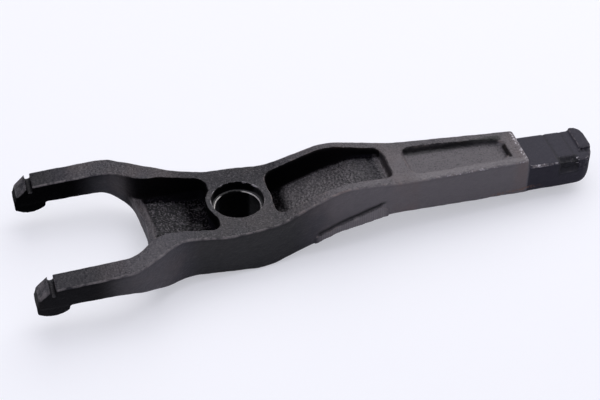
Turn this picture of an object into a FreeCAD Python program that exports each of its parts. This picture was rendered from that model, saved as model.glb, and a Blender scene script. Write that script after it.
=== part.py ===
import FreeCAD, Part
import math
import os

# One-piece cast clutch fork, in millimetres.
# Origin: centre of the pivot bore on the machined face of the boss.
# +X runs along the arm to the push-rod end, -X to the prongs, +Z is the pocketed side.

V = FreeCAD.Vector

# Pivot boss
seat_radius = 13.0
seat_depth = 4.6
bore_radius = 11.2
bore_chamfer = 0.3
boss_x = 4.0
boss_half = 25.3
boss_wall_throat = 3.4
boss_wall_arm = 4.6
belly_from_x = 5.0
belly_to_x = 13.0
belly_z = -26.3

# Prongs and throat
prong_end_x = -107.2
prong_outer = 43.7
prong_inner = 31.1
prong_top_z = 3.3
prong_under_z = -8.7
prong_under_end_x = -62.0
shoulder_x = -58.5
root_x = -32.0
root_half = 27.0
root_top_x = -36.0
root_top_z = 5.7
root_under_x = -42.0
root_under_z = -19.5
throat_x = -46.6
throat_slant = 3.0

# Slot across each prong and the convex shoe under its tip
slot_x = -98.2
slot_width = 2.3
slot_depth = 3.7
bevel_land = 0.2
bevel_x = slot_x - slot_width / 2 - bevel_land
bevel_run = 6.0
bevel_drop = 5.8
shoe_radius = 13.5
shoe_drop = 4.5
shoe_front_x = -106.8
shoe_heel_x = -91.1
shoe_side = 0.4

# Arm: it dips at the boss, climbs to the knee and falls to its end
dip_from_x = -11.0
dip_to_x = 17.0
waist_x = 28.0
waist_half = 21.7
knee_x = 49.0
knee_z = 11.8
under_knee_x = 47.0
under_knee_z = -16.7
arch_x = 74.0
arch_z = -13.7
arm_mid_x = 84.0
arm_mid_z = 6.1
arm_end_x = 150.0
arm_end_z = 2.8
arm_half = 13.2
arm_mid_half = arm_half + 3.4

# Push-rod end
tail_length = 39.0
tail_end_x = arm_end_x + tail_length
tail_half = arm_half - 0.5
tail_step = 1.6
tail_neck = 2.0
tail_top_z = -2.4
tail_tip_z = -3.8
tail_under_z = -19.8
tail_heel = 4.0
tail_near_cut = 5.0
tail_near_y = -4.5
tail_near_slant = 0.4
tail_far_cut = 1.0
tail_far_y = 3.0
lip_length = 7.3
lip_rise = 1.8
lip_root = 3.0
lip_inset = 0.6
lip_near_y = -5.4
rod_cup_x = arm_end_x + 20.0
rod_cup_radius = 13.0
rod_cup_depth = 3.5

# Pockets: inner half-widths and floor heights
pocket_half = 19.0
pocket_flare = 1.6
pocket_mouth = 12.5
pocket_flare_x = 2.5
web_throat_z = -7.5
web_boss_z = -12.3
web_level = 8.0
rib_x = 77.0
rib_width = 10.8
arm_pocket_x = 17.0
arm_pocket_half = 15.2
arm_pocket_knee_half = 14.1
arm_pocket_end_half = 10.6
arm_pocket_floor_z = -11.5
arm_pocket_end_z = 2.6
ramp_foot = 7.0
ramp_head = 17.0
shallow_half = 9.9
shallow_end_half = 6.8
shallow_straight = 18.0
shallow_floor_z = 2.8
shallow_slope = 2.9
end_wall = 8.3

# Raised strip low on the arm's side, under the knee
strip_start_x = 34.0
strip_end_x = 73.5
strip_under_z = -19.2
strip_proud = 1.2
strip_start_rise = 4.4
strip_hollow = 3.7
strip_hump_x = 12.0
strip_hump_rise = 9.0
strip_end_low = 6.6
strip_end_high = 10.7
strip_crest_x = 4.5
strip_crest_rise = 14.4

# Radii of the outline's bends and of the casting's rounded edges
flank_bend = 60.0
root_bend = 30.0
shoulder_bend = 20.0
throat_bend = 15.0
tail_near_bend = 7.0
tail_far_bend = 6.0
tail_heel_bend = 9.0
step_bend = 3.0
step_head_bend = 1.2
step_foot_bend = 1.0
bevel_bend = 0.8
tip_outer_bend = 3.0
tip_inner_bend = 2.0
nose_bend = 2.5
top_bend = 24.0
knee_bend = 32.0
under_bend = 20.0
pocket_bend = 4.5
floor_bend = 15.0
edge_fillet = 2.0
floor_fillet = 2.5
ramp_fillet = 1.5
rim_fillet = 1.5
smallest_radius = 0.4

# Clear of the part on every side, for tools that cut through it
above = 20.0
below = -32.0
beside = 60.0
run_out = 5.0

# A face whose normal rises more than level_rise looks up or down, less than wall_rise sideways
level_rise = 0.6
wall_rise = 0.3


def offset_corners(corners, inset):
    """Corners of the parallel outline, moved inwards by inset; the list runs anticlockwise."""
    moved = []
    count = len(corners)
    for i in range(count):
        before = V(*corners[i - 1][:2], 0)
        here = V(*corners[i][:2], 0)
        after = V(*corners[(i + 1) % count][:2], 0)
        first = (here - before).normalize()
        second = (after - here).normalize()
        turn = first.x * second.y - first.y * second.x
        half = math.atan2(turn, first.dot(second)) / 2
        normal = V(-first.y - second.y, first.x + second.x, 0).normalize()
        point = here + normal * (inset / math.cos(half))
        radius = 0
        if corners[i][2] > 0:
            radius = max(corners[i][2] - math.copysign(inset, turn), smallest_radius)
        moved.append((point.x, point.y, radius))
    return moved


def rounded_wire(corners, place):
    """Closed wire of straight runs and tangent arcs; place stands a flat point in space."""
    starts = []
    middles = []
    ends = []
    count = len(corners)
    for i in range(count):
        here = V(*corners[i][:2], 0)
        to_before = (V(*corners[i - 1][:2], 0) - here).normalize()
        to_after = (V(*corners[(i + 1) % count][:2], 0) - here).normalize()
        radius = corners[i][2]
        half = to_before.getAngle(to_after) / 2
        reach = radius / math.tan(half)
        inward = (to_before + to_after).normalize()
        starts.append(here + to_before * reach)
        middles.append(here + inward * (radius / math.sin(half) - radius))
        ends.append(here + to_after * reach)
    edges = []
    for i in range(count):
        if corners[i][2] > 0:
            arc = Part.Arc(place(starts[i]), place(middles[i]), place(ends[i]))
            edges.append(arc.toShape())
        following = starts[(i + 1) % count]
        edges.append(Part.LineSegment(place(ends[i]), place(following)).toShape())
    return Part.Wire(edges)


def level(z):
    return lambda point: V(point.x, point.y, z)


def upright(y):
    return lambda point: V(point.x, y, point.y)


def mirrored(half):
    """The whole outline from its half with Y above zero."""
    return half + [(x, -y, r) for x, y, r in reversed(half) if y > 0]


def standing(corners, z_from, z_to):
    """Upright prism over an outline seen from above."""
    return Part.Face(rounded_wire(corners, level(z_from))).extrude(V(0, 0, z_to - z_from))


def across(corners, y_from, y_to):
    """Prism between two Y values over an outline seen from the side."""
    return Part.Face(rounded_wire(corners, upright(y_from))).extrude(V(0, y_to - y_from, 0))


def block(x_from, x_to, y_from, y_to, z_from, z_to):
    size = V(x_to - x_from, y_to - y_from, z_to - z_from)
    return Part.makeBox(size.x, size.y, size.z, V(x_from, y_from, z_from))


def plan_corners():
    """Outline seen from above; the tail's end is rounder on the near side."""
    near_end = [
        (tail_end_x - tail_near_cut, -tail_half, tail_near_bend),
        (tail_end_x - tail_near_slant, tail_near_y, tail_near_bend),
    ]
    far_end = [
        (tail_end_x, tail_far_y, tail_far_bend),
        (tail_end_x - tail_far_cut, tail_half, tail_far_bend),
    ]
    half = [
        (arm_end_x + tail_neck, tail_half, step_bend),
        (arm_end_x, arm_half, step_bend),
        (arm_mid_x, arm_mid_half, flank_bend),
        (waist_x, waist_half, flank_bend),
        (boss_x, boss_half, flank_bend),
        (root_x, root_half, root_bend),
        (shoulder_x, prong_outer, shoulder_bend),
        (prong_end_x, prong_outer, tip_outer_bend),
        (prong_end_x, prong_inner, tip_inner_bend),
        (throat_x - throat_slant, prong_inner, throat_bend),
        (throat_x, 0, 0),
    ]
    return near_end + far_end + mirrored(half)


def side_corners():
    """Outline seen from the side: down the tip, along the underside and back over the top."""
    return [
        (bevel_x, prong_top_z, bevel_bend),
        (bevel_x - bevel_run, prong_top_z - bevel_drop, nose_bend),
        (prong_end_x, prong_under_z, 0),
        (prong_under_end_x, prong_under_z, under_bend),
        (root_under_x, root_under_z, under_bend),
        (belly_from_x, belly_z, under_bend),
        (belly_to_x, belly_z, under_bend),
        (under_knee_x, under_knee_z, under_bend),
        (arch_x, arch_z, under_bend),
        (arm_end_x, tail_under_z, flank_bend),
        (tail_end_x - tail_heel, tail_under_z, tail_heel_bend),
        (tail_end_x, tail_tip_z, nose_bend),
        (arm_end_x + tail_step, tail_top_z, step_foot_bend),
        (arm_end_x, arm_end_z, step_head_bend),
        (arm_mid_x, arm_mid_z, flank_bend),
        (knee_x, knee_z, knee_bend),
        (dip_to_x, 0, top_bend),
        (dip_from_x, 0, top_bend),
        (root_top_x, root_top_z, top_bend),
    ]


def rim_edges(shape):
    """Edges where a face that looks up or down meets a face that looks sideways."""
    chosen = []
    for edge in shape.Edges:
        middle = edge.valueAt((edge.FirstParameter + edge.LastParameter) / 2)
        slopes = []
        for face in shape.ancestorsOfType(edge, Part.Face):
            u, v = face.Surface.parameter(middle)
            slopes.append(abs(face.normalAt(u, v).z))
        if max(slopes) > level_rise and min(slopes) < wall_rise:
            chosen.append(edge)
    return chosen


def blank():
    """The casting's envelope: the plan outline cut by the side outline, with rounded rims."""
    envelope = standing(plan_corners(), below, above)
    solid = envelope.common(across(side_corners(), -beside, beside)).Solids[0]
    return solid.makeFillet(edge_fillet, rim_edges(solid))


def pocket(half, floor, boss_wall, fillet):
    """Tool for one pocket: an outline from above over a floor seen from the side."""
    over = [(floor[-1][0], above, 0), (floor[0][0], above, 0)]
    tool = standing(mirrored(half), below, above).common(across(floor + over, -beside, beside))
    tool = tool.cut(Part.makeCylinder(seat_radius + boss_wall, above - below, V(0, 0, below)))
    solid = tool.Solids[0]
    low = [edge for edge in rim_edges(solid) if edge.BoundBox.ZMax < above - run_out]
    return solid.makeFillet(fillet, low)


def throat_pocket():
    """Between the prong roots and the boss, open to the throat."""
    mouth_x = throat_x - pocket_mouth
    half = [
        (-seat_radius, pocket_half, pocket_bend),
        (throat_x + pocket_flare_x, pocket_half + pocket_flare, floor_bend),
        (mouth_x, prong_inner, 0),
    ]
    floor = [
        (mouth_x, web_throat_z, 0),
        (throat_x + web_level, web_throat_z, floor_bend),
        (-seat_radius - web_level, web_boss_z, floor_bend),
        (0, web_boss_z, 0),
    ]
    return pocket(half, floor, boss_wall_throat, floor_fillet)


def arm_pocket():
    """Between the boss and the cross rib; its floor climbs with the arm."""
    half = [
        (rib_x, arm_pocket_end_half, pocket_bend),
        (knee_x, arm_pocket_knee_half, flank_bend),
        (arm_pocket_x, arm_pocket_half, pocket_bend),
    ]
    floor = [
        (0, arm_pocket_floor_z, 0),
        (arm_pocket_x + ramp_foot, arm_pocket_floor_z, floor_bend),
        (rib_x - ramp_head, arm_pocket_end_z, floor_bend),
        (rib_x + run_out, arm_pocket_end_z, 0),
    ]
    return pocket(half, floor, boss_wall_arm, ramp_fillet)


def shallow_pocket():
    """Past the cross rib, as far as the end wall."""
    start = rib_x + rib_width
    end = arm_end_x - end_wall
    half = [
        (end, shallow_end_half, pocket_bend),
        (start + shallow_straight, shallow_half, flank_bend),
        (start, shallow_half, pocket_bend),
    ]
    floor = [(start - run_out, shallow_floor_z, 0), (end + run_out, shallow_floor_z, 0)]
    tool = pocket(half, floor, 0, floor_fillet)
    tool.rotate(V(start, 0, shallow_floor_z), V(0, 1, 0), shallow_slope)
    return tool


def with_pockets(solid):
    """The casting with its three pockets; the arm's two have rounded rims."""
    for tool in (shallow_pocket(), arm_pocket()):
        solid = solid.cut(tool).Solids[0]
        solid = solid.makeFillet(rim_fillet, rim_edges(solid))
    return solid.cut(throat_pocket())


def shoes():
    """The convex pads under both prong tips, which press on the release bearing."""
    axis_z = prong_under_z - shoe_drop + shoe_radius
    axis = V((shoe_front_x + shoe_heel_x) / 2, -beside, axis_z)
    roller = Part.makeCylinder(shoe_radius, 2 * beside, axis, V(0, 1, 0))
    pads = []
    for y_from, y_to in ((prong_inner, prong_outer), (-prong_outer, -prong_inner)):
        reach = block(shoe_front_x, shoe_heel_x, y_from + shoe_side, y_to - shoe_side,
                      below, prong_under_z + edge_fillet)
        pads.append(roller.common(reach))
    return pads


def slots():
    x_from = slot_x - slot_width / 2
    return block(x_from, x_from + slot_width, -beside, beside, prong_top_z - slot_depth, above)


def bore():
    """Stepped pivot bore with a chamfered mouth and a chamfered seat."""
    mouth = Part.makeCylinder(seat_radius, seat_depth + above, V(0, 0, -seat_depth))
    through = Part.makeCylinder(bore_radius, above - below, V(0, 0, below))
    flare = seat_radius + bore_chamfer
    lead = Part.makeCone(seat_radius, flare, bore_chamfer, V(0, 0, -bore_chamfer))
    over = Part.makeCylinder(flare, above, V(0, 0, 0))
    exit_z = belly_z + bore_chamfer
    exit_lead = Part.makeCone(bore_radius + 2 * bore_chamfer, bore_radius,
                              2 * bore_chamfer, V(0, 0, exit_z - bore_chamfer))
    return mouth.fuse([through, lead, over, exit_lead])


def lip():
    """The raised end of the tail, on the far side only."""
    inner = offset_corners(plan_corners(), lip_inset)
    raised = standing(inner, tail_tip_z - lip_root, tail_tip_z + lip_rise)
    return raised.common(block(tail_end_x - lip_length, tail_end_x + beside, lip_near_y, beside, below, above))


def rod_cup():
    """Hollow for the push rod's end, under the tail."""
    return Part.makeCone(rod_cup_radius, 0, 2 * rod_cup_depth, V(rod_cup_x, 0, tail_under_z - rod_cup_depth))


def side_strip():
    """Raised strip low on the arm's near side, under the knee."""
    outline = [
        (strip_start_x, strip_under_z, 0),
        (under_knee_x, strip_under_z + strip_hollow, under_bend),
        (strip_end_x, strip_under_z + strip_end_low, 0),
        (strip_end_x, strip_under_z + strip_end_high, nose_bend),
        (strip_end_x - strip_crest_x, strip_under_z + strip_crest_rise, nose_bend),
        (strip_start_x + strip_hump_x, strip_under_z + strip_hump_rise, under_bend),
        (strip_start_x, strip_under_z + strip_start_rise, nose_bend),
    ]
    proud = standing(offset_corners(plan_corners(), -strip_proud), below, above)
    return proud.common(across(outline, -beside, -arm_half))


fork = with_pockets(blank())
fork = fork.fuse(shoes() + [lip(), side_strip()])
fork = fork.cut([slots(), bore(), rod_cup()]).removeSplitter()

os.makedirs("parts", exist_ok=True)
fork.exportStep("parts/clutch_fork.step")
print("clutch_fork", fork.isValid(), len(fork.Solids), "solid", round(fork.Volume / 1000, 1), "cm3")
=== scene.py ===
import math

import bpy
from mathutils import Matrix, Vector


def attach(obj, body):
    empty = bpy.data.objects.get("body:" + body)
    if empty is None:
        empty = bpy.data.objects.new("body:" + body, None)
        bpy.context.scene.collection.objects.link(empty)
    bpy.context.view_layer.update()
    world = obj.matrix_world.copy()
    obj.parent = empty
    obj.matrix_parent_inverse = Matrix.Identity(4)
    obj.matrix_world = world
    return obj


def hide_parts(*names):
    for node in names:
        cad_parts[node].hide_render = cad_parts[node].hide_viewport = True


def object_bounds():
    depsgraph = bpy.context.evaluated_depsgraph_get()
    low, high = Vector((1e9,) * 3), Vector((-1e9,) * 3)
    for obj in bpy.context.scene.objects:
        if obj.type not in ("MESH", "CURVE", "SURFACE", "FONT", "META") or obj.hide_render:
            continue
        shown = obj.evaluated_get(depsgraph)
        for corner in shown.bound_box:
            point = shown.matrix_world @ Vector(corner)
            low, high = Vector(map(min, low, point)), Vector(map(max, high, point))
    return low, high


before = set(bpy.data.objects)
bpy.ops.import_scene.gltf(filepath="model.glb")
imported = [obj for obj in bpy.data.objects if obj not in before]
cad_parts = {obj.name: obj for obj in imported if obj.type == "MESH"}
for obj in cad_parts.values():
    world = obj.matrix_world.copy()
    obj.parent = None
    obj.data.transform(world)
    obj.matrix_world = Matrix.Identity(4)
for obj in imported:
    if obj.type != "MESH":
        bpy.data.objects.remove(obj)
cad_low, cad_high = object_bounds()


# Clutch fork casting
# One piece of grey iron from a sand mould, painted thin and dark all over. Prongs, boss,
# arm and tail are cast together, so one mesh stands for the whole fork. Places on it are
# in millimetres from the bore's axis: x along the arm, y across it, z up.
MM = 0.001
skin_grid = 0.5
skin_limit = 190000
least_share = 0.01
arm_end = 150

cad_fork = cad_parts["clutch_fork"]
bpy.ops.object.select_all(action="DESELECT")
fork = cad_fork.copy()
fork.data = cad_fork.data.copy()
fork.name = "cast_fork"
bpy.context.collection.objects.link(fork)
fork.parent = None
bpy.context.view_layer.objects.active = fork
fork.select_set(True)
bpy.ops.object.mode_set(mode="EDIT")
bpy.ops.mesh.select_all(action="SELECT")
bpy.ops.mesh.remove_doubles(threshold=0.01 * MM)
bpy.ops.object.mode_set(mode="OBJECT")


def apply_modifier(modifier):
    bpy.context.view_layer.objects.active = fork
    bpy.ops.object.modifier_apply(modifier=modifier.name)


def ease(value, low, high):
    """Goes softly from 0 at low to 1 at high; low may be above high."""
    share = min(max((value - low) / (high - low), 0.0), 1.0)
    return share * share * (3 - 2 * share)


def between(value, low, high, soft):
    """1 from low to high and 0 outside, each border blurred by soft to both sides."""
    return ease(value, low - soft, low + soft) * ease(value, high + soft, high - soft)


def region(name, weight):
    """A vertex group, weighted by each vertex's place."""
    group = fork.vertex_groups.new(name=name)
    for vertex in fork.data.vertices:
        x, y, z = vertex.co / MM
        share = weight(x, y, z)
        if share > least_share:
            group.add([vertex.index], share, "REPLACE")
    return group.name


def rub_down(name, weight, passes):
    """Smooths the skin in one region, as wear, paint and the moulder's fillets do."""
    smooth = fork.modifiers.new(name, "SMOOTH")
    smooth.factor = 0.5
    smooth.iterations = passes
    smooth.vertex_group = region(name, weight)
    apply_modifier(smooth)


def sink(name, weight, depth, grain=0.0):
    """Presses one region inwards by depth; grain is the size of its lumps, 0 for none."""
    press = fork.modifiers.new(name, "DISPLACE")
    press.mid_level = 0
    press.strength = -depth * MM
    press.vertex_group = region(name, weight)
    if grain:
        lumps = bpy.data.textures.new(name, "CLOUDS")
        lumps.noise_scale = grain * MM
        lumps.noise_depth = 2
        lumps.contrast = 2.0
        press.texture = lumps
        press.texture_coords = "LOCAL"
    apply_modifier(press)


def whole_skin(x, y, z):
    return 1.0


def all_but_bore(x, y, z):
    return ease(math.hypot(x, y), 13.6, 14.6)


def cast_rims(x, y, z):
    """The whole skin, the tail and the prong tips less than the rest."""
    on_tail_side = ease(x, arm_end - 3, arm_end - 1)
    return all_but_bore(x, y, z) * (1 - 0.6 * on_tail_side) * (1 - 0.6 * ease(x, -84, -87))


def cast_skin(x, y, z):
    """The whole skin, the tail much less than the rest."""
    return all_but_bore(x, y, z) * (1 - 0.7 * ease(x, arm_end - 1, arm_end + 1))


throat_edge = -46.6
throat_slant = 0.1
throat_flat_half = 15.0
throat_bend = 13.0


def past_throat(x, y):
    """How far a point lies behind the throat's edge, whose sides bend out along the prongs."""
    side = abs(y)
    bend = max(0.0, side - throat_flat_half) ** 2 / (2 * throat_bend)
    return x - (throat_edge - throat_slant * side - bend)


def throat_rim(x, y, z):
    """The web's edge over the throat, a smooth bead between the prong roots."""
    return between(past_throat(x, y), -2, 5, 1.5) * ease(abs(y), 29, 24) * ease(z, -14, -11)


def web_floor(x, y, z):
    """The recessed floor of the web, behind its bead."""
    behind = ease(past_throat(x, y), 3.8, 5.0)
    return behind * ease(x, -13, -18) * ease(abs(y), 19.6, 18.2) * between(z, -13.6, -5.5, 0.6)


def boss_pit(x, y, z):
    """The hollow between the web and the boss."""
    length = ease(x, -27, -21) * ease(x, -9, -12)
    return length * ease(abs(y), 18.5, 16.5) * between(z, -14, -8, 0.6)


def ramp_foot(x, y, z):
    """The hollow between the boss and the foot of the ramp."""
    length = ease(x, 28.5, 23) * ease(x, 10, 14)
    return length * ease(abs(y), 14.6, 12.6) * between(z, -14, -7, 0.6)


def rib_foot(x, y, z):
    """The crease where the ramp meets the cross rib."""
    return between(x, 69.4, 72.6, 0.6) * ease(abs(y), 10, 8.5) * between(z, 1.5, 4.5, 0.5)


def end_wall_foot(x, y, z):
    """The crease where the shallow pocket meets its end wall."""
    return between(x, 137.6, 139.8, 0.6) * ease(abs(y), 7.5, 6.0) * between(z, -1.5, 1.6, 0.4)


def pocket_rims(x, y, z):
    """Upper edges of the throat pocket, which the mould leaves round."""
    return between(x, -56, -10, 2) * ease(z, -3.0, -1.0) * ease(math.hypot(x, y), 14.4, 15.6)


def arm_pocket_rims(x, y, z):
    """Upper edges of the deep and the shallow pocket in the arm."""
    side = abs(y)
    deep_pocket = between(x, 18, 78, 2) * ease(side, 16.0, 14.5)
    shallow_pocket = between(x, 86, 145, 2) * ease(side, 11.0, 9.8)
    return max(deep_pocket, shallow_pocket) * ease(z, -2, 0)


def lip_foot(x, y, z):
    """The corner between the tail's upper side and its raised lip."""
    return between(x, 179.5, 183.6, 1.2) * ease(z, -5, -4.4)


def tail_break(x, y, z):
    """The sunk near edge of the tail, where a feeder was knocked off, with a wavy border."""
    wave = 0.8 * math.sin(1.9 * x) + 0.5 * math.sin(4.3 * x + 1)
    return between(x, 168.6, 178.0, 0.7) * ease(y, -8.2 + wave, -9.6 + wave) * ease(z, -11.0, -8.5)


def broken_corner(x, y, z):
    """The tail's near corner, rough from the feeder to the lip."""
    return between(x, 168.6, 186, 1.0) * ease(y, -7.5, -9.5) * between(z, -9.5, -4.0, 1.5)


def lip_notch(x, y, z):
    """A nick in the lip's upper edge."""
    return between(x, 180.5, 186.5, 0.6) * between(y, -6.6, -4.2, 0.8) * ease(z, -4.5, -3.4)


def tool_mark(x_from, x_to, y_from):
    """The region of one shallow cut across the top of the tail."""
    def weight(x, y, z):
        on_face = ease(y, y_from, y_from + 2) * between(z, -4.4, -2.1, 0.4)
        return between(x, x_from, x_to, 0.5) * on_face

    return weight


strip_bend = 47
steep_slope = 0.37
steep_level = -27.55
gentle_slope = 0.245
gentle_level = -21.715
chatter_rate = 5.2


def strip_top(x):
    """Height of the side strip's upper edge, which rises more gently past its bend."""
    if x < strip_bend:
        return steep_level + steep_slope * x
    return gentle_level + gentle_slope * x


def over_strip(x, y, z):
    """The groove that the moulder's tool left over the strip."""
    return between(x, 36, 71, 1) * between(z - strip_top(x), -0.2, 0.9, 0.5) * ease(y, -16, -17)


def strip_chatter(x, y, z):
    """Fine upright ribs on the strip, left by the tool's chatter, one every 1.2 mm."""
    ribs = 0.5 + 0.5 * math.sin(x * chatter_rate)
    return between(x, 36, 71, 1) * ease(y, -16, -17) * ease(z - strip_top(x), -0.4, -1.0) * ribs


def beside_parting_line(x, y, z):
    """The near side of the arm's end, but for a thin line low on it, the mould's parting line."""
    line = between(z, -16.6, -15.4, 0.5) * between(x, 132, 158, 3)
    return ease(y, -11, -12) * between(x, 128, 162, 3) * (1 - line)


remesh = fork.modifiers.new("even grid", "REMESH")
remesh.mode = "VOXEL"
remesh.voxel_size = skin_grid * MM
apply_modifier(remesh)
rub_down("cast rims", cast_rims, passes=9)
sink("web floor", web_floor, depth=1.5)
sink("boss pit", boss_pit, depth=1.2)
sink("ramp foot", ramp_foot, depth=1.6)
sink("rib foot", rib_foot, depth=0.9)
sink("end wall foot", end_wall_foot, depth=0.6)
rub_down("throat rim", throat_rim, passes=24)
rub_down("pocket rims", pocket_rims, passes=12)
rub_down("arm pocket rims", arm_pocket_rims, passes=16)
rub_down("lip foot", lip_foot, passes=8)
sink("tail break", tail_break, depth=1.5)
sink("rough break", broken_corner, depth=1.0, grain=1.6)
sink("lip notch", lip_notch, depth=1.2, grain=1.2)
sink("tool mark", tool_mark(167.2, 168.4, -11), depth=0.3)
sink("second tool mark", tool_mark(176.6, 177.8, -7), depth=0.25)
sink("groove over strip", over_strip, depth=1.0)
sink("strip chatter", strip_chatter, depth=0.25)
sink("parting line", beside_parting_line, depth=0.25)
sink("hand-made skin", cast_skin, depth=0.2, grain=5.0)
sink("pebbled web", web_floor, depth=0.45, grain=1.3)
thin = fork.modifiers.new("lighter mesh", "DECIMATE")
thin.ratio = min(1.0, skin_limit / (2 * len(fork.data.polygons)))
apply_modifier(thin)
rub_down("even skin", whole_skin, passes=2)
sink("shot blasting", whole_skin, depth=0.08)
fork.vertex_groups.clear()
bpy.ops.object.shade_smooth()

iron = bpy.data.materials.new("cast iron")
iron.use_nodes = True
nodes = iron.node_tree.nodes
links = iron.node_tree.links
shader = nodes["Principled BSDF"]


def wire(value, socket):
    if isinstance(value, bpy.types.NodeSocket):
        links.new(value, socket)
    else:
        socket.default_value = value


def node(kind, **inputs):
    """A shader node whose inputs are given by name, as a value or as another node's output."""
    made = nodes.new(kind)
    for name, value in inputs.items():
        wire(value, made.inputs[name.replace("_", " ")])
    return made


def calculated(how, first, second=0.0, third=0.0):
    made = nodes.new("ShaderNodeMath")
    made.operation = how
    for place, value in enumerate((first, second, third)):
        wire(value, made.inputs[place])
    return made.outputs[0]


def linear(value, slope, start):
    return calculated("MULTIPLY_ADD", value, slope, start)


def times(*shares):
    """The product of several masks or numbers."""
    product = shares[0]
    for share in shares[1:]:
        product = calculated("MULTIPLY", product, share)
    return product


def most(*shares):
    """The largest of several masks, point by point."""
    largest = shares[0]
    for share in shares[1:]:
        largest = calculated("MAXIMUM", largest, share)
    return largest


def all_but(share, part=1.0):
    """The rest of a mask: 1 where it is 0, and less by part where it is 1."""
    return linear(share, -part, 1.0)


def band(value, low, high):
    """Goes softly from 0 at low to 1 at high; low may be above high."""
    made = node("ShaderNodeMapRange", Value=value, From_Min=low, From_Max=high)
    made.interpolation_type = "SMOOTHSTEP"
    return made.outputs["Result"]


def stretch(value, start, full, fall, end):
    """Rises from start to full, stays 1 up to fall, and is gone at end."""
    return times(band(value, start, full), band(value, end, fall))


def painted(below, paint, *shares):
    """The colour below with paint laid over it, as thickly as the product of the shares."""
    made = nodes.new("ShaderNodeMix")
    made.data_type = "RGBA"
    for place, value in ((0, times(*shares)), (6, below), (7, paint)):
        wire(value, made.inputs[place])
    return made.outputs[2]


# Places and slopes that the masks read, in millimetres as above
where = nodes.new("ShaderNodeTexCoord").outputs["Object"]
in_millimetres = node("ShaderNodeVectorMath", Vector=where)
in_millimetres.operation = "SCALE"
in_millimetres.inputs["Scale"].default_value = 1 / MM
along, across, height = node("ShaderNodeSeparateXYZ", Vector=in_millimetres.outputs[0]).outputs
off_middle = calculated("ABSOLUTE", across)
radius = calculated("SQRT", calculated("MULTIPLY_ADD", along, along, times(across, across)))
surface = nodes.new("ShaderNodeNewGeometry")
pointiness = surface.outputs["Pointiness"]
lean_along, lean_across, upward = node("ShaderNodeSeparateXYZ", Vector=surface.outputs["Normal"]).outputs


def noise(per_metre, detail, roughness=0.6):
    made = node("ShaderNodeTexNoise", Vector=where, Scale=per_metre, Detail=detail, Roughness=roughness)
    return made.outputs["Fac"]


# Paint: black and faintly violet, browner where it is thin, plain and bluish on the tail
drift = noise(28.0, 3.0)
mottle = noise(190.0, 4.0, 0.65)
speckle = noise(900.0, 3.0, 0.7)
grit = noise(1150.0, 2.0, 0.7)
black_paint_and_shade = (0.0185, 0.0168, 0.0240, 1)
brown_paint = (0.0430, 0.0325, 0.0340, 1)
thin_paint_and_highlight = (0.0980, 0.0880, 0.0950, 1)
pale_paint_and_highlight = (0.1700, 0.1550, 0.1600, 1)
tail_paint = (0.0175, 0.0158, 0.0262, 1)
rusty_paint = (0.1250, 0.0880, 0.0820, 1)
fleck_and_highlight = (0.1050, 0.0950, 0.1020, 1)
# Near black, for soot in the grain and for painted shade
soot_and_painted_shade = (0.0032, 0.0032, 0.0038, 1)
on_tail = band(along, arm_end - 0.5, arm_end + 1.0)
on_arm = band(calculated("MULTIPLY_ADD", drift, 40.0, along), 45, 85)
far_half = band(across, 3, 13)
colour = painted(black_paint_and_shade, brown_paint, band(drift, 0.44, 0.66))
colour = painted(colour, thin_paint_and_highlight, on_arm, all_but(far_half, 0.5))
colour = painted(colour, soot_and_painted_shade, band(across, 0, 10), band(along, -76, -94), 0.8)
colour = painted(colour, soot_and_painted_shade, band(across, 0, -10), band(along, -62, -80), 0.5)
round_boss = stretch(along, -36, -22, 20, 36)
# Painted shade on the boss's steep sides
colour = painted(colour, soot_and_painted_shade, round_boss, linear(band(upward, 0.6, 0.4), 0.36, 0.55))
stained = most(band(along, 140, 146), stretch(along, 73, 78, 87, 92))
stained = times(stained, band(along, arm_end, arm_end - 1), band(drift, 0.35, 0.6))
colour = painted(colour, rusty_paint, stained, 0.45)
colour = painted(colour, tail_paint, on_tail)
scrapes = most(stretch(along, 166.7, 167.6, 168.0, 169.2), stretch(along, 176.4, 177.1, 177.4, 178.2))
colour = painted(colour, soot_and_painted_shade, scrapes, on_tail, band(upward, 0.5, 0.8), 0.4)
# Painted highlight on the near prong's root
near_root_highlight = times(band(across, -12, -20), stretch(along, -80, -65, -45, -30))
colour = painted(colour, thin_paint_and_highlight, near_root_highlight, 0.35)
plain_ends = most(times(on_tail, 0.85), times(band(along, -64, -80), 0.65))
on_top = times(band(upward, 0.5, 0.75), all_but(plain_ends))
colour = painted(colour, fleck_and_highlight, band(grit, 0.5, 0.70), on_top, 0.75)
colour = painted(colour, soot_and_painted_shade, band(grit, 0.47, 0.34), on_top, 0.6)

# Side strip: painted lighter where light falls on it, with painted shadow in the groove over it and one
# painted glint
worn_iron_and_highlight = (0.2400, 0.2150, 0.2150, 1)
steep_part = linear(along, steep_slope, steep_level)
gentle_part = linear(along, gentle_slope, gentle_level)
over_line = calculated("SUBTRACT", height, calculated("MINIMUM", steep_part, gentle_part))
near_side = times(band(across, -15.0, -16.5), band(upward, -0.6, -0.3), stretch(along, 34, 38, 70, 73))
# Painted shadow in the groove over the strip
groove_shadow = times(near_side, stretch(over_line, -0.6, 0.0, 0.8, 2.0))
colour = painted(colour, soot_and_painted_shade, groove_shadow, 0.75)
# The strip is painted lighter where light falls on it, in bands that follow the chatter
lit_strip = times(near_side, band(over_line, -0.2, -0.9))
hatch = calculated("SINE", times(along, chatter_rate))
colour = painted(colour, pale_paint_and_highlight, lit_strip, linear(hatch, 0.25, 0.6))
# A painted glint on the strip
glint = times(lit_strip, stretch(along, 54.0, 55.5, 56.5, 58.0), band(over_line, -2.2, -1.2))
colour = painted(colour, worn_iron_and_highlight, glint, 0.7)
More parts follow.
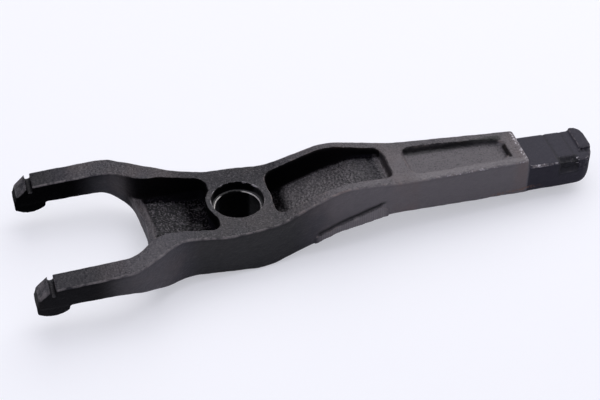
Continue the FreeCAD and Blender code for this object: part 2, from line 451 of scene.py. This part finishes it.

# Rims are rubbed thin and carry a painted highlight. Along the arm they show bare, bright flecks of iron
# and a little rust.
bright_chip_and_highlight = (0.60, 0.57, 0.60, 1)
rust = (0.1500, 0.0820, 0.0560, 1)
break_length = stretch(along, 166.5, 168.0, 178.0, 179.5)
on_break = times(break_length, band(across, -7.0, -8.5), band(height, -12.5, -9.5))
sloping = stretch(upward, 0.35, 0.55, 0.86, 0.95)
rim = times(sloping, band(pointiness, 0.494, 0.506), all_but(on_break, 0.95))
# Lighter rims: partly wear, partly a painted highlight where the fillets face the light
colour = painted(colour, worn_iron_and_highlight, rim, band(mottle, 0.35, 0.6), 0.45)
step_length = stretch(along, arm_end - 2.8, arm_end - 1.8, arm_end + 0.5, arm_end + 1.3)
step_edge = times(step_length, band(height, -0.4, 1.2))
arm_or_near_side = most(band(along, arm_end + 2, arm_end), band(across, -7, -9))
outer_rim = times(rim, band(along, 85, 115), arm_or_near_side, band(off_middle, 9.8, 10.8))
chips = times(band(speckle, 0.51, 0.59), band(mottle, 0.40, 0.52), all_but(on_break, 0.9))
colour = painted(colour, bright_chip_and_highlight, most(outer_rim, step_edge), chips, 0.8)
colour = painted(colour, soot_and_painted_shade, on_break, 0.6)
snags = times(stretch(along, 174.5, 175.5, 178.0, 180.0), band(height, -7.5, -6.0))
snags = times(snags, band(across, -8.5, -10.0), band(speckle, 0.59, 0.66))
colour = painted(colour, bright_chip_and_highlight, snags)
parting_line = times(stretch(height, -17.0, -16.0, -15.5, -14.5), stretch(along, 128, 134, 154, 160))
parting_line = times(parting_line, band(across, -11, -12), band(speckle, 0.45, 0.58))
colour = painted(colour, rust, parting_line, 0.7)
rusty_length = stretch(along, -36, 60, arm_end - 2, arm_end + 2)
rusty_rim = times(rim, band(mottle, 0.48, 0.62), rusty_length)
colour = painted(colour, rust, rusty_rim, 0.3)

# Hollows and the prongs' sides: painted shade, darkest in the two deep pockets
# Painted shade in creases and hollow corners
colour = painted(colour, soot_and_painted_shade, band(pointiness, 0.49, 0.42), 0.8)
far_wall = times(band(lean_across, -0.25, -0.6), band(across, 6, 9))
far_wall = times(far_wall, stretch(along, -62, -45, 144.0, 145.5), all_but(band(along, 83, 88), 0.25))
end_wall = times(stretch(along, 140.3, 141.4, 142.2, 143.2), stretch(across, -8.5, -7.0, 2.5, 4.5), 0.9)
rib_wall = times(band(lean_along, -0.25, -0.5), stretch(along, 73.5, 75.5, 83.0, 86.0))
rib_wall = times(rib_wall, band(off_middle, 15, 14), 0.6)
walls = most(far_wall, end_wall, rib_wall)
boss_wall = times(band(lean_along, -0.2, -0.6), stretch(along, -26, -22, -12, -8))
throat_pit = times(stretch(along, -28, -21, -12, -9), band(height, -10.5, -12.0))
ramp_pit = times(stretch(along, 12.0, 15.0, 23.5, 27.5), band(height, -8.5, -10.5))
ramp_pit = times(ramp_pit, linear(band(across, -5, 4), 0.7, 0.3))
# Two paler spots in the pits, where the painted shade is lighter
front_pale_spot = times(stretch(along, -24.0, -21.5, -19.5, -17.0), stretch(across, -3.0, 0.0, 2.0, 5.5))
back_pale_spot = times(stretch(along, -20.5, -18.5, -16.5, -14.5), stretch(across, 11.5, 13.5, 14.5, 16.5))
pale_spots = most(front_pale_spot, back_pale_spot)
pits = most(boss_wall, throat_pit, ramp_pit)
pits = times(pits, band(off_middle, 20.0, 18.5), all_but(pale_spots, 0.6))
prong_sides = times(band(along, -50, -80), band(upward, 0.6, 0.4), linear(across, 0.003, 0.95))
# Painted shade on the pockets' walls, the pits and the prongs' sides
painted_shade = most(walls, pits, prong_sides)
colour = painted(colour, soot_and_painted_shade, painted_shade, 0.9)

# Floors of the pockets: dull and pebbled, with painted shade in creases, on the web and at the ramp's head,
# and painted highlights on the ramp's foot, the ledge, the near flange and the bead's crest
on_web = times(stretch(along, -44.0, -41.5, -14.0, -10.0), band(off_middle, 20.5, 19.0))
on_web = times(on_web, band(height, -6.2, -7.5))
ramp_height = calculated("MINIMUM", linear(along, 0.22, -6.0), 4.5)
on_ramp = times(stretch(along, 14, 18, 74, 76), band(off_middle, 15, 14))
on_ramp = times(on_ramp, calculated("LESS_THAN", height, ramp_height))
ramp_head = times(on_ramp, stretch(along, 56.0, 68.0, 72.8, 73.8))
# Painted highlight on the ledge at the rib's foot
ledge_highlight = times(on_ramp, band(along, 72.5, 73.5), band(height, 2.2, 3.0))
colour = painted(colour, fleck_and_highlight, ledge_highlight, 0.6)
out_of_corner = most(band(along, 24.5, 27.5), times(band(across, 2, -4), 0.45))
# Painted light on the ramp's lower part, where it faces up
ramp_highlight = times(on_ramp, stretch(along, 15, 19, 40, 56), out_of_corner, band(upward, 0.45, 0.7))
colour = painted(colour, pale_paint_and_highlight, ramp_highlight, 0.85)
# Painted shade in the crease at the rib
rib_crease_shade = times(on_ramp, stretch(along, 69.0, 70.2, 72.2, 73.5))
colour = painted(colour, soot_and_painted_shade, rib_crease_shade, 0.65)
on_shallow = times(stretch(along, 88, 91, 139, 142), band(off_middle, 10.0, 8.5))
# Painted shade along the shallow pocket's far wall and its corner
far_foot_shadow = times(stretch(along, 87, 90, 141, 143), stretch(across, 6.0, 8.0, 9.0, 10.2), 0.9)
far_corner_shadow = times(stretch(along, 128.0, 136.0, 140.5, 142.5), stretch(across, 5.5, 7.5, 9.4, 10.6))
colour = painted(colour, soot_and_painted_shade, most(far_foot_shadow, far_corner_shadow), 0.95)
flange_length = stretch(along, 82, 94, arm_end - 1.0, arm_end + 0.5)
# Painted highlight on the near flange of the arm
near_flange_highlight = times(band(across, -9.0, -10.4), flange_length, on_top)
colour = painted(colour, pale_paint_and_highlight, near_flange_highlight, 0.65)
# Painted shade on the web and at the ramp's head
colour = painted(colour, black_paint_and_shade, most(times(on_web, 0.8), times(ramp_head, 0.75)))
colour = painted(colour, thin_paint_and_highlight, pale_spots, 0.5)
floors = times(most(on_web, times(on_ramp, 0.5)), band(upward, 0.4, 0.7))
pebble = node("ShaderNodeTexVoronoi", Vector=where, Scale=760.0)
pebble.feature = "SMOOTH_F1"
pebble.inputs["Smoothness"].default_value = 0.4
colour = painted(colour, soot_and_painted_shade, band(pebble.outputs["Distance"], 0.38, 0.58), floors, 0.9)
cells = noise(1000.0, 1.0, 0.5)
colour = painted(colour, soot_and_painted_shade, band(cells, 0.52, 0.42), floors, 0.95)
colour = painted(colour, thin_paint_and_highlight, band(cells, 0.53, 0.62), floors, 0.7)
colour = painted(colour, pale_paint_and_highlight, band(cells, 0.56, 0.66), on_web, band(along, -26, -32), 0.25)
past_bead = calculated("MULTIPLY_ADD", off_middle, throat_slant, calculated("SUBTRACT", along, throat_edge))
# Painted highlight along the bead's crest
crest_highlight = times(stretch(past_bead, 2.2, 3.4, 4.2, 5.0), band(height, -15.0, -12.5), band(off_middle, 22, 16))
colour = painted(colour, thin_paint_and_highlight, crest_highlight, 0.6)

# Bore: seat turned bare, painted dark as shade below it and at its back, with a rubbed mouth whose flecks
# are partly painted highlight
bare_iron = (0.58, 0.56, 0.54, 1)
mouth_edge = 13.65
bore_edge = 13.10
seat_edge = 11.75
seat_level = -5.2
in_bore = calculated("LESS_THAN", radius, bore_edge)
at_mouth = times(calculated("LESS_THAN", radius, mouth_edge), all_but(in_bore))
# The rubbed mouth's bright flecks, partly a painted highlight
colour = painted(colour, bright_chip_and_highlight, at_mouth, band(mottle, 0.51, 0.62), 0.5)
# Painted shade inside the bore
colour = painted(colour, soot_and_painted_shade, in_bore)
# Painted shadow on the back of the seat
shadowed_back = times(stretch(along, -7.2, -5.8, 3.8, 5.4), band(across, 0, 2))
on_seat = times(calculated("GREATER_THAN", height, seat_level), calculated("LESS_THAN", radius, seat_edge))
on_seat = times(on_seat, all_but(shadowed_back, 0.97))
colour = painted(colour, bare_iron, on_seat)
wire(colour, shader.inputs["Base Color"])

# Sheen: bright on the bore's seat, dull where shade is painted, on the tail and on steep sides
steep_sides = times(band(upward, 0.5, 0.2), 0.38)
near_tip = times(band(along, -56, -68), band(across, 0, -10), 0.4)
far_tip = times(band(along, -70, -82), band(across, 0, 10), 0.5)
far_boss = times(round_boss, band(across, 6, 14), 0.35)
# Metal mirrors no more than its colour, so a share of it takes the white sheen off dark paint
metal = most(times(on_seat, 0.9), times(painted_shade, 0.95), steep_sides, near_tip, far_tip, far_boss)
wire(metal, shader.inputs["Metallic"])
gloss = node("ShaderNodeMapRange", Value=noise(420.0, 3.0), To_Min=0.42, To_Max=0.66)
dull_floors = times(most(floors, ramp_head, on_web), 0.72)
dull = most(times(painted_shade, 0.95), times(on_tail, 0.82), dull_floors, times(on_shallow, 0.62))
wire(most(gloss.outputs["Result"], dull), shader.inputs["Roughness"])
shader.inputs["Specular IOR Level"].default_value = 0.6

# Sand grain: rounded pebbles about a millimetre across, finer grit between them
pebbles = times(pebble.outputs["Distance"], linear(floors, -2.6, -0.8))
grain = calculated("ADD", pebbles, times(noise(1500.0, 4.0), 0.8))
smooth_places = most(in_bore, times(on_tail, 0.7))
grain = times(grain, all_but(smooth_places, 0.9), linear(on_top, 0.75, 0.25))
relief = linear(noise(240.0, 2.0), 0.8, grain)
bump = node("ShaderNodeBump", Height=relief, Strength=0.9, Distance=0.7 * MM)
wire(bump.outputs["Normal"], shader.inputs["Normal"])
fork.data.materials.clear()
fork.data.materials.append(iron)

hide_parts("clutch_fork")
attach(fork, "root")


# Table
# A sheet of white paper that the fork lies on. It glows a little for the camera, which
# keeps it near white, and still takes the fork's soft, violet shadow.
table_level = cad_low[2]
table_width = 8
glow_share = 0.48
bpy.ops.mesh.primitive_plane_add(size=table_width, location=(0, 0, table_level))
table = bpy.context.object
table.name = "table"
paper = bpy.data.materials.new("white paper")
paper.use_nodes = True
nodes = paper.node_tree.nodes
links = paper.node_tree.links
matt = nodes["Principled BSDF"]
matt.inputs["Base Color"].default_value = (0.92, 0.925, 0.955, 1)
matt.inputs["Roughness"].default_value = 0.95
glow = node("ShaderNodeEmission", Color=(0.935, 0.940, 1.0, 1))
seen_by_camera = nodes.new("ShaderNodeLightPath").outputs["Is Camera Ray"]
both = nodes.new("ShaderNodeMixShader")
wire(times(seen_by_camera, glow_share), both.inputs[0])
wire(matt.outputs[0], both.inputs[1])
wire(glow.outputs[0], both.inputs[2])
wire(both.outputs[0], nodes["Material Output"].inputs["Surface"])
table.data.materials.append(paper)


# Light
# A wide soft box behind and to the right of the fork, one overhead that thins the shadows,
# and a weak one on the left. All three shine at the arm.
lamp_aim = Vector((0.03, 0, 0))


def lamp(name, place, size, power, colour):
    bpy.ops.object.light_add(type="AREA", location=place)
    light = bpy.context.object
    light.name = name
    light.data.size = size
    light.data.energy = power
    light.data.color = colour
    light.rotation_euler = (Vector(place) - lamp_aim).to_track_quat("Z", "Y").to_euler()


lamp("main soft box", (0.60, 0.75, 1.35), size=2.2, power=30, colour=(1, 0.985, 0.985))
lamp("top soft box", (-0.1, -0.4, 1.7), size=2.4, power=17, colour=(0.92, 0.92, 1))
lamp("left soft box", (-1.4, 0.2, 0.9), size=1.0, power=3, colour=(0.95, 0.95, 1))
world = bpy.data.worlds.new("room")
world.use_nodes = True
room_light = world.node_tree.nodes["Background"]
room_light.inputs["Color"].default_value = (0.62, 0.65, 1.0, 1)
room_light.inputs["Strength"].default_value = 0.12
bpy.context.scene.world = world


# Camera
# At the photograph's viewing angle, aimed at the middle of the arm.
view_azimuth = math.radians(-16.423)
view_elevation = math.radians(41.756)
view_roll = math.radians(0.917)
view_distance = 762.67 * MM
view_aim = Vector((29.64, -8.66, 0.09)) * MM
back = Vector((
    math.sin(view_azimuth) * math.cos(view_elevation),
    -math.cos(view_azimuth) * math.cos(view_elevation),
    math.sin(view_elevation),
))
bpy.ops.object.camera_add(location=view_aim + back * view_distance)
camera = bpy.context.object
camera.rotation_euler = (math.pi / 2 - view_elevation, 0, view_azimuth)
camera.rotation_euler.rotate_axis("Z", view_roll)
camera.data.lens = 92.44
camera.data.sensor_width = 36
camera.data.clip_start = 0.01
bpy.context.scene.camera = camera

bpy.context.scene.view_settings.view_transform = "Standard"
